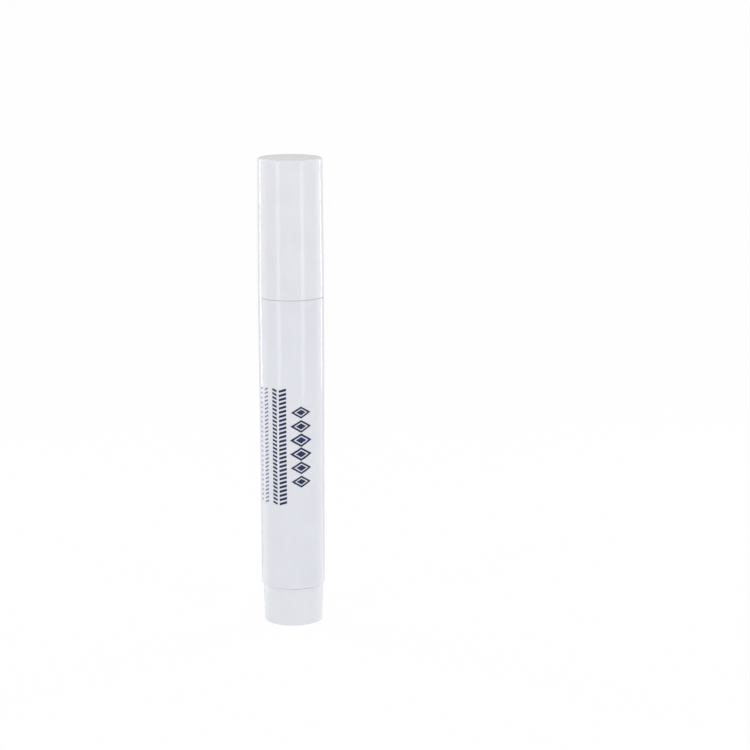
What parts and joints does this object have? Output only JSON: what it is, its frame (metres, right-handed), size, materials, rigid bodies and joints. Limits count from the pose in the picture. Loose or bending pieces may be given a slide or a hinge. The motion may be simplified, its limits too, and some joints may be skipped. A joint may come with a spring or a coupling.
{
  "type": "cuticle pen",
  "caption": "Upright twist-up cosmetic pen with a pull-off cap, tapered barrel, brush nose and a tail knob that feeds a piston by a lead screw.",
  "frame": {"origin": "centre of the knob's foot, on the surface that the pen stands on", "axes": "+Z along the pen's axis from the knob to the top of the cap; -Y is the printed side that faces the viewer"},
  "size_m": [0.016, 0.016, 0.1143],
  "materials": {
    "shell_plastic": "gloss",
    "barrel_plastic": "gloss",
    "knob_plastic": "gloss",
    "liner_plastic": "satin, natural white",
    "nose_plastic": "satin gloss",
    "ferrule_plastic": "gloss",
    "tuft_resin": "set resin",
    "tube_steel": "drawn",
    "bristle_nylon": "tapered nylon filament",
    "piston_plastic": "soft natural white",
    "drive_plastic": "natural acetal"
  },
  "bodies": {
    "root": {"barrel": "barrel_plastic", "nose_cone": "nose_plastic", "brush_ferrule": "ferrule_plastic", "tuft_plug": "tuft_resin", "feed_tube": "tube_steel", "brush_bristles": "bristle_nylon", "screw_nut": "drive_plastic", "ratchet_ring": "drive_plastic"},
    "cap": {"cap_shell": "shell_plastic", "cap_liner": "liner_plastic"},
    "knob": {"twist_knob": "knob_plastic", "drive_sleeve": "drive_plastic"},
    "piston": {"piston": "piston_plastic"},
    "screw": {"lead_screw": "drive_plastic"}
  },
  "joints": [
    {"name": "cap_slide", "type": "slide", "parent": "root", "child": "cap", "axis": [0, 0, 1], "range_m": [0, 0.04]},
    {"name": "knob_twist", "type": "hinge", "parent": "root", "child": "knob", "pos_m": [0, 0, 0], "axis": [0, 0, 1], "range_deg": [0, 5400]},
    {"name": "screw_feed", "type": "slide", "parent": "knob", "child": "screw", "axis": [0, 0, 1], "range_m": [0, 0.03005]},
    {"name": "piston_feed", "type": "slide", "parent": "root", "child": "piston", "axis": [0, 0, 1], "range_m": [0, 0.03005]}
  ],
  "couplings": [
    {"joint": "screw_feed", "follows": "knob_twist", "m_per_rad": 0.00031831},
    {"joint": "piston_feed", "follows": "knob_twist", "m_per_rad": 0.00031831}
  ]
}
